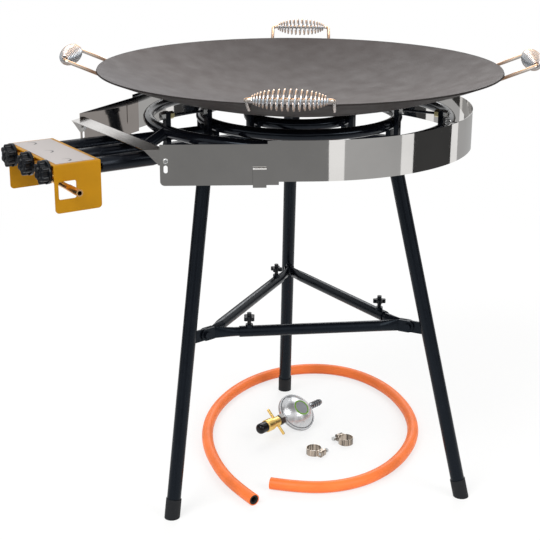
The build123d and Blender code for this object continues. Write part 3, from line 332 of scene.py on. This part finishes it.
def enamel(name, roughness, gloss):
    # Painted highlight colour: the cool specular tint turns the enamel's highlights blue.
    cool = (0.72, 0.84, 1.0, 1.0)
    s = Shader(name, (0.003, 0.0035, 0.0055), roughness, Specular_IOR_Level=gloss, Specular_Tint=cool)
    s.rough(s.span(s.noise(18.0, detail=3.0), 0.3, 0.7, roughness - 0.02, roughness + 0.04))
    s.paint(s.mix(s.span(s.noise(26.0), 0.42, 0.75), (0.0025, 0.003, 0.005), (0.005, 0.0055, 0.008)))
    s.bump(s.noise(120.0, detail=2.0), 0.02, 0.0005)
    return s.material


def mirror_sheet(name, base):
    s = Shader(name, base, 0.05, metallic=1.0)
    s.rough(s.span(s.noise(90.0, detail=6.0, stretch=(1.0, 1.0, 6.0)), 0.35, 0.8, 0.03, 0.07))
    s.paint(s.mix(s.span(s.noise(8.0, detail=5.0), 0.4, 0.7), tint(base, 1.05), tint(base, 0.92)))
    s.bump(s.noise(7.0, detail=1.0), 0.12, 0.004)
    return s.material


def satin_sheet():
    s = Shader("bridge_stainless", (0.60, 0.585, 0.57), 0.16, metallic=1.0)
    lines = s.noise(30.0, detail=6.0, stretch=(2.0, 90.0, 90.0))
    s.rough(s.span(lines, 0.3, 0.7, 0.10, 0.22))
    s.paint(s.mix(s.span(s.noise(14.0), 0.4, 0.7), (0.66, 0.64, 0.62), (0.56, 0.54, 0.52)))
    s.bump(lines, 0.04, 0.0003)
    return s.material


def powder_coat(name, base, roughness, gloss, sheen=(1.0, 1.0, 1.0)):
    # Painted highlight colour: sheen tints the highlights through the specular tint.
    s = Shader(name, base, roughness, Specular_IOR_Level=gloss, Specular_Tint=(*sheen, 1.0))
    s.paint(s.mix(s.span(s.noise(12.0, detail=5.0), 0.35, 0.7), tint(base, 0.90), tint(base, 1.08)))
    s.rough(s.span(s.noise(55.0, detail=4.0), 0.3, 0.7, roughness - 0.07, roughness + 0.08))
    s.bump(s.noise(650.0, detail=2.0), 0.10, 0.0004)
    return s.material


def label_metal():
    base = (0.395, 0.360, 0.348)
    s = Shader("label_aluminium", base, 0.42, metallic=0.25)
    lines = s.noise(20.0, detail=6.0, stretch=(3.0, 160.0, 1.0))
    s.paint(s.mix(s.span(lines, 0.3, 0.7), tint(base, 0.95), tint(base, 1.04)))
    s.rough(s.span(lines, 0.3, 0.7, 0.36, 0.48))
    s.bump(lines, 0.05, 0.0002)
    return s.material


def moulded(name, base, roughness, gloss=0.4):
    s = Shader(name, base, roughness, Specular_IOR_Level=gloss)
    s.paint(s.mix(s.span(s.noise(40.0, detail=4.0), 0.35, 0.7), tint(base, 0.85), tint(base, 1.2)))
    s.rough(s.span(s.noise(60.0, detail=3.0), 0.3, 0.7, roughness - 0.04, roughness + 0.06))
    s.bump(s.noise(900.0, detail=2.0), 0.02, 0.0002)
    return s.material


def turned(name, base, roughness, dull):
    """Turned brass with fine tool marks and a little tarnish."""
    s = Shader(name, base, roughness, metallic=1.0)
    s.paint(s.mix(s.span(s.noise(50.0, detail=3.0), 0.45, 0.85), base, dull))
    s.rough(s.span(s.noise(120.0, detail=3.0), 0.3, 0.7, roughness - 0.04, roughness + 0.06))
    s.bump(s.noise(900.0, detail=2.0), 0.015, 0.0002)
    return s.material


def plated(name, base, roughness=0.28):
    s = Shader(name, base, roughness, metallic=1.0)
    s.paint(s.mix(s.span(s.noise(90.0, detail=3.0), 0.4, 0.8), base, tint(base, 0.82)))
    s.rough(s.span(s.noise(160.0, detail=3.0), 0.3, 0.7, roughness - 0.05, roughness + 0.08))
    s.bump(s.noise(900.0, detail=2.0), 0.015, 0.0002)
    return s.material


def tie_nuts():
    """Bright zinc outside the posts, olive passivated on the inner side of the outer ones."""
    s = Shader("tie_nut_zinc", (0.62, 0.63, 0.62), 0.3, metallic=1.0)
    away = s.from_axis()
    olive = s.math("MULTIPLY", s.math("GREATER_THAN", away, 0.260), s.math("LESS_THAN", away, 0.300))
    blotch = s.mix(s.span(s.noise(240.0), 0.35, 0.7), (0.40, 0.35, 0.17), (0.52, 0.47, 0.28))
    s.paint(s.mix(olive, (0.62, 0.63, 0.62), blotch))
    s.rough(s.span(s.noise(300.0), 0.3, 0.7, 0.24, 0.36))
    s.bump(s.noise(900.0), 0.02, 0.0002)
    return s.material


def rubber(name, base, roughness, grain=900.0, peel=0.12):
    s = Shader(name, base, roughness, Specular_IOR_Level=0.25)
    s.paint(s.mix(s.span(s.noise(18.0, detail=5.0), 0.35, 0.7), tint(base, 0.9), tint(base, 1.07)))
    s.rough(s.span(s.noise(90.0, detail=4.0), 0.3, 0.7, roughness - 0.06, roughness + 0.08))
    s.bump(s.noise(grain, detail=3.0), peel, 0.0003)
    return s.material


def die_cast():
    base = (0.62, 0.63, 0.645)
    s = Shader("regulator_diecast", base, 0.26, metallic=0.6)
    s.paint(s.mix(s.span(s.noise(30.0, detail=3.0), 0.35, 0.7), tint(base, 0.93), tint(base, 1.06)))
    s.rough(s.span(s.noise(60.0, detail=3.0), 0.3, 0.7, 0.22, 0.30))
    s.bump(s.noise(500.0, detail=2.0), 0.012, 0.0002)
    return s.material


def clip_steel():
    """Spring band steel with painted reflections: upright dark and bright bands on a brownish base."""
    base = (0.40, 0.34, 0.28)
    s = Shader("clip_stainless", base, 0.18, metallic=0.75)
    # Painted reflections: upright bands running from a quarter of the base to half again as bright.
    painted_reflection_bands = s.noise(170.0, detail=2.0, stretch=(1.0, 1.0, 0.06))
    s.paint(s.mix(s.span(painted_reflection_bands, 0.38, 0.62), tint(base, 0.25), tint(base, 1.55)))
    s.rough(s.span(s.noise(120.0, detail=3.0), 0.3, 0.7, 0.14, 0.24))
    s.bump(s.noise(900.0, detail=2.0), 0.012, 0.0002)
    return s.material


MATERIALS = {
    "pan": pan_steel(),
    # Handle and spring chrome: top, side and below are painted reflection colours for faces turned up,
    # sideways and down; root is the colour next to the pan.
    "chrome": chrome(
        "handle_chrome", top=(0.78, 0.46, 0.25), side=(0.66, 0.61, 0.56), painted_below_reflection=(0.20, 0.17, 0.15),
        root=(0.20, 0.11, 0.06),
    ),
    "coil": chrome(
        "spring_chrome", top=(0.76, 0.50, 0.32), side=(0.60, 0.66, 0.72), painted_below_reflection=(0.26, 0.18, 0.13),
        root=(0.60, 0.55, 0.50),
    ),
    "enamel": enamel("burner_black", 0.12, gloss=0.22),
    "tube": enamel("mixing_tube_black", 0.24, gloss=0.20),
    "mirror": mirror_sheet("shield_stainless", (0.70, 0.685, 0.665)),
    # Painted reflection: the left flap's taupe base stands in for what its inner face reflects.
    "painted_reflection_tone": mirror_sheet("flap_stainless", (0.50, 0.455, 0.425)),
    "satin": satin_sheet(),
    "yellow": powder_coat("bracket_yellow", (0.41, 0.190, 0.003), 0.45, gloss=0.12),
    # The tripod's sheen paints its highlights blue.
    "tripod": powder_coat(
        "tripod_black", (0.0045, 0.0055, 0.0080), 0.27, gloss=0.17, sheen=(0.68, 0.84, 1.0),
    ),
    "label": label_metal(),
    "knob": moulded("knob_plastic", (0.005, 0.006, 0.008), 0.14, gloss=0.20),
    "pipe": turned("pipe_brass", (0.86, 0.52, 0.24), 0.20, (0.66, 0.35, 0.14)),
    "brass": turned("gas_brass", (0.86, 0.60, 0.20), 0.30, (0.70, 0.45, 0.13)),
    "zinc": plated("zinc_steel", (0.60, 0.61, 0.61)),
    "tie_nuts": tie_nuts(),
    "cap": rubber("cap_rubber", (0.008, 0.009, 0.011), 0.58),
    "nose": rubber("nose_rubber", (0.006, 0.006, 0.007), 0.18),
    "hose": rubber("hose_rubber", (0.93, 0.205, 0.046), 0.42, grain=700.0, peel=0.05),
    "hose_inside": rubber("hose_inner_rubber", (0.008, 0.008, 0.008), 0.6),
    "regulator": die_cast(),
    "tail": plated("tail_zinc", (0.30, 0.31, 0.32), 0.20),
    "collar": plated("collar_steel", (0.10, 0.095, 0.09), 0.28),
    # Painted shade for the two dark rings on the regulator flange.
    "seam": plated("painted_crease_shade", (0.13, 0.13, 0.14), 0.35),
    "clip": clip_steel(),
    "badge": moulded("badge_green", (0.150, 0.360, 0.008), 0.36, gloss=0.2),
    "badge_plate": plated("badge_plate", (0.34, 0.35, 0.37), 0.38),
    "mark": moulded("label_mark", (0.040, 0.042, 0.048), 0.5),
}
NODE_LOOKS = {
    "pan": ("pan_bowl",),
    "chrome": ("handle_bail",),
    "enamel": ("burner_ring", "support_arm", "pan_posts", "tie_rods"),
    "tube": ("venturi_tube",),
    "mirror": ("windshield_band", "windshield_flap_right"),
    "painted_reflection_tone": ("windshield_flap_left",),
    "satin": ("shield_bridge",),
    "yellow": ("control_bracket",),
    "label": ("label_plate",),
    "knob": ("knob", "lock_screw"),
    "pipe": ("gas_manifold",),
    "brass": ("gas_taps", "injectors", "regulator_wing_nut"),
    "zinc": ("shield_screws", "shield_hooks", "clip_screw", "tap_spindle"),
    "tie_nuts": ("tie_rod_nuts",),
    "tripod": ("leg", "brace_sleeve", "brace_slider", "brace_bolts"),
    "cap": ("foot_caps",),
    "nose": ("regulator_nose",),
    "regulator": ("regulator_body",),
    "tail": ("regulator_tail",),
    "clip": ("clip_bands",),
}


def dress(obj, look):
    obj.data.materials.clear()
    obj.data.materials.append(MATERIALS[look])


def dress_nodes():
    for look, prefixes in NODE_LOOKS.items():
        for name, obj in NODES.items():
            if name in prefixes or name.rsplit("_", 1)[0] in prefixes:
                dress(obj, look)


# Camera, light and floor
WORLD_STRENGTH = 0.62
FLOOR_HALF = 9.0
FLOOR_TONE = (0.93, 0.93, 0.92)
FLOOR_FADE_START = 0.7
FLOOR_FADE_END = 2.2
FLOOR_NEAR_GLOW = 0.72
LAMPS = (
    # name, place, height it is turned to, size, power
    ("key", (1.0, -3.0, 3.6), 0.6, 2.6, 118.0),
    ("fill", (3.2, 1.2, 2.4), 0.6, 2.2, 48.0),
    ("back", (-2.6, 2.2, 3.0), 0.7, 2.2, 60.0),
)


def camera():
    heading = Vector((math.cos(CAMERA_HEADING), math.sin(CAMERA_HEADING), 0))
    forward = heading * math.cos(CAMERA_PITCH) + Vector((0, 0, math.sin(CAMERA_PITCH)))
    right = Vector((math.sin(CAMERA_HEADING), -math.cos(CAMERA_HEADING), 0))
    up = right.cross(forward)
    turned_right = right * math.cos(CAMERA_ROLL) + up * math.sin(CAMERA_ROLL)
    turned_up = up * math.cos(CAMERA_ROLL) - right * math.sin(CAMERA_ROLL)
    data = bpy.data.cameras.new("camera")
    data.lens = CAMERA_LENS
    data.sensor_width = SENSOR
    data.shift_x = CAMERA_SHIFT
    data.clip_end = CAMERA_REACH
    obj = link(bpy.data.objects.new("camera", data))
    turn = Matrix((turned_right, turned_up, -forward)).transposed().to_4x4()
    obj.matrix_world = Matrix.Translation(CAMERA_PLACE) @ turn
    bpy.context.scene.camera = obj


def area_light(name, place, target, size, power):
    data = bpy.data.lights.new(name, "AREA")
    data.shape = "DISK"
    data.size = size
    data.energy = power
    obj = link(bpy.data.objects.new(name, data))
    obj.location = place
    obj.rotation_euler = (Vector(target) - Vector(place)).to_track_quat("-Z", "Y").to_euler()


def background_ray(tree):
    """A factor that is 1 for rays that see the background: camera, glossy and transmission rays."""
    rays = tree.nodes.new("ShaderNodeLightPath")
    total = rays.outputs["Is Camera Ray"]
    for kind in ("Is Glossy Ray", "Is Transmission Ray"):
        add = tree.nodes.new("ShaderNodeMath")
        add.operation = "MAXIMUM"
        tree.links.new(total, add.inputs[0])
        tree.links.new(rays.outputs[kind], add.inputs[1])
        total = add.outputs[0]
    return total


def world():
    scene_world = bpy.data.worlds.new("studio")
    bpy.context.scene.world = scene_world
    scene_world.use_nodes = True
    tree = scene_world.node_tree
    tree.nodes.clear()
    seen = tree.nodes.new("ShaderNodeBackground")
    seen.inputs["Color"].default_value = (1, 1, 1, 1)
    lit = tree.nodes.new("ShaderNodeBackground")
    lit.inputs["Color"].default_value = (1, 1, 1, 1)
    lit.inputs["Strength"].default_value = WORLD_STRENGTH
    mix = tree.nodes.new("ShaderNodeMixShader")
    tree.links.new(background_ray(tree), mix.inputs["Fac"])
    tree.links.new(lit.outputs[0], mix.inputs[1])
    tree.links.new(seen.outputs[0], mix.inputs[2])
    out = tree.nodes.new("ShaderNodeOutputWorld")
    tree.links.new(mix.outputs[0], out.inputs["Surface"])


def floor():
    half = FLOOR_HALF
    corners = [(-half, -half, 0), (half, -half, 0), (half, half, 0), (-half, half, 0)]
    plane = mesh_object("floor", corners, [(0, 1, 2, 3)], smooth=False)
    material = bpy.data.materials.new("floor_pale")
    material.use_nodes = True
    tree = material.node_tree
    tree.nodes.clear()
    paint = tree.nodes.new("ShaderNodeBsdfDiffuse")
    paint.inputs["Color"].default_value = (*FLOOR_TONE, 1)
    glow = tree.nodes.new("ShaderNodeEmission")
    glow.inputs["Color"].default_value = (1, 1, 1, 1)
    place = tree.nodes.new("ShaderNodeVectorMath")
    place.operation = "LENGTH"
    tree.links.new(tree.nodes.new("ShaderNodeNewGeometry").outputs["Position"], place.inputs[0])
    fade = tree.nodes.new("ShaderNodeMapRange")
    fade.interpolation_type = "SMOOTHSTEP"
    fade.inputs["From Min"].default_value = FLOOR_FADE_START
    fade.inputs["From Max"].default_value = FLOOR_FADE_END
    fade.inputs["To Min"].default_value = FLOOR_NEAR_GLOW
    tree.links.new(place.outputs["Value"], fade.inputs["Value"])
    share = tree.nodes.new("ShaderNodeMath")
    share.operation = "MULTIPLY"
    tree.links.new(background_ray(tree), share.inputs[0])
    tree.links.new(fade.outputs["Result"], share.inputs[1])
    mix = tree.nodes.new("ShaderNodeMixShader")
    tree.links.new(share.outputs[0], mix.inputs["Fac"])
    tree.links.new(paint.outputs[0], mix.inputs[1])
    tree.links.new(glow.outputs[0], mix.inputs[2])
    out = tree.nodes.new("ShaderNodeOutputMaterial")
    tree.links.new(mix.outputs[0], out.inputs["Surface"])
    plane.data.materials.append(material)


# Studio panels: plain boards, evenly spaced round the set, that show only in polished metal
PANEL_DISTANCE = 1.75
PANEL_FOOT = 0.002
PANEL_SECTORS = 8
PANEL_SHARE = 0.8
PANEL_STEPS = 8
FIRST_PANEL = math.radians(-35.0)
PANEL_ORDER = ("grey", "pale", "dark", "pale")
PANEL_TONES = {
    # name: brightness, height of the top edge
    "dark": (0.05, 2.4),
    "grey": (0.22, 0.8),
    "pale": (0.45, 0.8),
}


def panel_material(tone, brightness):
    material = bpy.data.materials.new(f"panel_{tone}")
    material.use_nodes = True
    tree = material.node_tree
    tree.nodes.clear()
    glow = tree.nodes.new("ShaderNodeEmission")
    glow.inputs["Color"].default_value = (brightness, brightness, brightness, 1)
    out = tree.nodes.new("ShaderNodeOutputMaterial")
    tree.links.new(glow.outputs[0], out.inputs["Surface"])
    return material


def panel(name, middle, top, material):
    half = math.pi / PANEL_SECTORS * PANEL_SHARE
    verts = []
    for step in range(PANEL_STEPS + 1):
        turn = middle + half * (2 * step / PANEL_STEPS - 1)
        x, y = PANEL_DISTANCE * math.cos(turn), PANEL_DISTANCE * math.sin(turn)
        verts += [(x, y, PANEL_FOOT), (x, y, top)]
    piece = mesh_object(name, verts, strip_faces(PANEL_STEPS), smooth=False)
    piece.data.materials.append(material)
    piece.visible_camera = False
    piece.visible_diffuse = False
    piece.visible_shadow = False
    piece.visible_transmission = False
    piece.visible_volume_scatter = False


def panels():
    materials = {tone: panel_material(tone, brightness) for tone, (brightness, _) in PANEL_TONES.items()}
    for index in range(PANEL_SECTORS):
        tone = PANEL_ORDER[index % len(PANEL_ORDER)]
        middle = FIRST_PANEL + 2 * math.pi * index / PANEL_SECTORS
        panel(f"panel_{index}", middle, PANEL_TONES[tone][1], materials[tone])


def studio():
    bpy.context.scene.view_settings.view_transform = "Standard"
    world()
    floor()
    panels()
    for name, place, height, size, power in LAMPS:
        area_light(name, place, (0, 0, height), size, power)


# Grip springs: one unbroken wire each, round the handle's cross bar
def spring_place(share, length, turns):
    turn = 2 * math.pi * turns * share
    end_radius = HANDLE_ROD / 2 + SPRING_BORE_GAP + SPRING_WIRE / 2
    mid_radius = (SPRING_BELLY - SPRING_WIRE) / 2
    swell = SPRING_PITCH_SWELL * math.sin(2 * math.pi * share) / (2 * math.pi)
    radius = end_radius + (mid_radius - end_radius) * math.sin(math.pi * share)
    return radius * math.cos(turn), length * (share - swell - 0.5), radius * math.sin(turn)


def grip_spring(name):
    length, turns, degrees = HANDLES[name]
    lean = math.radians(degrees)
    joint = JOINTS[f"grip_{name}_spin"]
    centre, along = Vector(joint["pos_m"]), Vector(joint["axis"]).normalized()
    level = Vector((centre.x, centre.y, 0)).normalized()
    out = level * math.cos(lean) + Vector((0, 0, 1)) * math.sin(lean)
    up = out.cross(along)
    steps = SPRING_STEPS * turns
    points = []
    for step in range(steps + 1):
        x, y, z = spring_place(step / steps, length, turns)
        points.append(centre + out * x + along * y + up * z)
    points.insert(0, points[0] + (points[0] - points[1]).normalized() * SPRING_WIRE)
    points.append(points[-1] + (points[-1] - points[-2]).normalized() * SPRING_WIRE)
    data = bpy.data.curves.new(f"spring_{name}", "CURVE")
    data.dimensions = "3D"
    data.bevel_depth = SPRING_WIRE / 2
    data.bevel_resolution = 3
    data.use_fill_caps = True
    spline = data.splines.new("POLY")
    spline.points.add(len(points) - 1)
    for point, place in zip(spline.points, points):
        point.co = (*place, 1)
    spline.use_smooth = True
    spring = link(bpy.data.objects.new(f"spring_{name}", data))
    dress(spring, "coil")
    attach(spring, f"grip_{name}")
    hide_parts(f"handle_spring_{name}")


# Gas hose: a smooth cut length in a loop, with its two cut ends
def hose():
    data = bpy.data.curves.new("hose", "CURVE")
    data.dimensions = "3D"
    data.bevel_depth = HOSE_TUBE / 2
    data.bevel_resolution = 8
    data.resolution_u = 10
    spline = data.splines.new("NURBS")
    spline.points.add(len(HOSE_ROUTE) - 1)
    for point, (x, y) in zip(spline.points, HOSE_ROUTE):
        point.co = (x, y, HOSE_HEIGHT, 1)
    spline.order_u = 3
    spline.use_endpoint_u = True
    piece = link(bpy.data.objects.new("hose", data))
    dress(piece, "hose")
    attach(piece, "stand")
    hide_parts("gas_hose")
    first, second = HOSE_ROUTE[:2]
    before, last = HOSE_ROUTE[-2:]
    ends = [hose_end("hose_end_near", first, second), hose_end("hose_end_far", last, before)]


def hose_end(name, end, inner):
    """The cut face of the hose: the orange cover, the dark inner layer and the bore."""
    start = Vector((*end, HOSE_HEIGHT))
    inward = Vector((inner[0] - end[0], inner[1] - end[1], 0))
    skin, bore = HOSE_TUBE / 2, HOSE_BORE / 2
    cover = skin - HOSE_COVER
    inside = skin - HOSE_END_INSET
    profile = [
        (inside, HOSE_END_OVERLAP), (inside, HOSE_END_ROUND), (inside - HOSE_END_ROUND, 0.0), (cover, 0.0),
        (cover - HOSE_LAYER_STEP, HOSE_END_DISH), (bore + HOSE_END_ROUND, 2 * HOSE_END_DISH),
        (bore, 2 * HOSE_END_ROUND), (bore, HOSE_BORE_DEPTH), (HOSE_END_ROUND, HOSE_BORE_DEPTH),
    ]
    piece = lathe(name, profile, start, inward)
    piece.data.materials.append(MATERIALS["hose"])
    piece.data.materials.append(MATERIALS["hose_inside"])
    for polygon in piece.data.polygons:
        centre = polygon.center - start
        away = (centre - inward.normalized() * centre.dot(inward.normalized())).length
        polygon.material_index = int(away < cover - HOSE_END_DISH)
    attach(piece, "stand")
    return piece


# Regulator trim: a plain plate in a green ring, two dark rings of painted shade at the flange's step and
# edge, and a hexagon collar
def regulator_trim():
    joint = JOINTS["wing_nut_turn"]
    inlet = Vector(joint["axis"]).normalized()
    centre = Vector(joint["pos_m"]) - inlet * NUT_MIDDLE_FROM_BODY
    up = Vector((0, 0, 1))
    crown = up * math.cos(REGULATOR_TILT) + up.cross(inlet) * math.sin(REGULATOR_TILT)
    base = centre + crown * (CROWN_HEIGHT - BADGE_SINK)
    inner = BADGE_RADIUS - BADGE_RING
    ring = [
        (BADGE_RADIUS, 0), (BADGE_RADIUS, BADGE_SIDE), (BADGE_RADIUS - BADGE_EDGE, BADGE_TOP),
        (inner + BADGE_EDGE, BADGE_TOP), (inner, BADGE_SIDE), (inner, 0),
    ]
    plate = [(inner, PLATE_RIM), (inner * 0.5, PLATE_HALFWAY), (PLATE_CENTRE, PLATE_TOP)]
    step_end = FLANGE_STEP + STEP_SEAM_WIDTH
    step_seam = [
        (FLANGE_STEP, FLANGE_HALF), (step_end, FLANGE_HALF),
        (step_end - STEP_SEAM_EDGE, FLANGE_HALF + STEP_SEAM_OUTER_RISE),
        (FLANGE_STEP + STEP_SEAM_EDGE, FLANGE_HALF + STEP_SEAM_INNER_RISE),
    ]
    crest = FLANGE_RADIUS + EDGE_SEAM_RISE
    edge_seam = [
        (FLANGE_RADIUS, -EDGE_SEAM_HALF), (crest, -EDGE_SEAM_CREST), (crest, EDGE_SEAM_CREST),
        (FLANGE_RADIUS, EDGE_SEAM_HALF),
    ]
    bore = INLET_RADIUS + COLLAR_GAP
    shoulder = COLLAR_RADIUS - COLLAR_EDGE
    collar = [
        (bore, 0), (shoulder, 0), (COLLAR_RADIUS, COLLAR_EDGE), (COLLAR_RADIUS, COLLAR_LENGTH - COLLAR_EDGE),
        (shoulder, COLLAR_LENGTH), (bore, COLLAR_LENGTH),
    ]
    seat = centre + inlet * COLLAR_FROM_BODY
    pieces = (
        (lathe("regulator_ring", ring, base, crown), "badge"),
        (lathe("regulator_plate", plate, base, crown), "badge_plate"),
        # Painted shade: dark rings at the step between dome and flange and round the flange edge.
        (lathe("regulator_step_seam", step_seam, centre, crown, closed=True), "seam"),
        (lathe("regulator_edge_seam", edge_seam, centre, crown, closed=True), "seam"),
        (lathe("regulator_collar", collar, seat, inlet, HEXAGON, closed=True), "collar"),
    )
    for piece, look in pieces:
        dress(piece, look)
        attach(piece, "regulator")


# Label marks: a plain swelling arc beside each tap
def label_marks():
    low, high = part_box("label_plate")
    middle = (low.y + high.y) / 2 - MARK_SETBACK
    height = high.z + MARK_LIFT
    for index, place in enumerate((-TAP_SPACING, 0.0, TAP_SPACING)):
        verts = []
        for step in range(MARK_STEPS + 1):
            share = step / MARK_STEPS
            turn = math.radians(MARK_START - MARK_SWEEP * share)
            half = MARK_WIDTH / 2 * share + MARK_TIP
            for radius in (MARK_RADIUS - half, MARK_RADIUS + half):
                verts.append((place + radius * math.cos(turn), middle + radius * math.sin(turn), height))
        mark = mesh_object(f"label_arc_{index}", verts, strip_faces(MARK_STEPS), smooth=False)
        dress(mark, "mark")
        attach(mark, "stand")


camera()
studio()
dress_nodes()
for handle in HANDLES:
    grip_spring(handle)
hose()
regulator_trim()
label_marks()
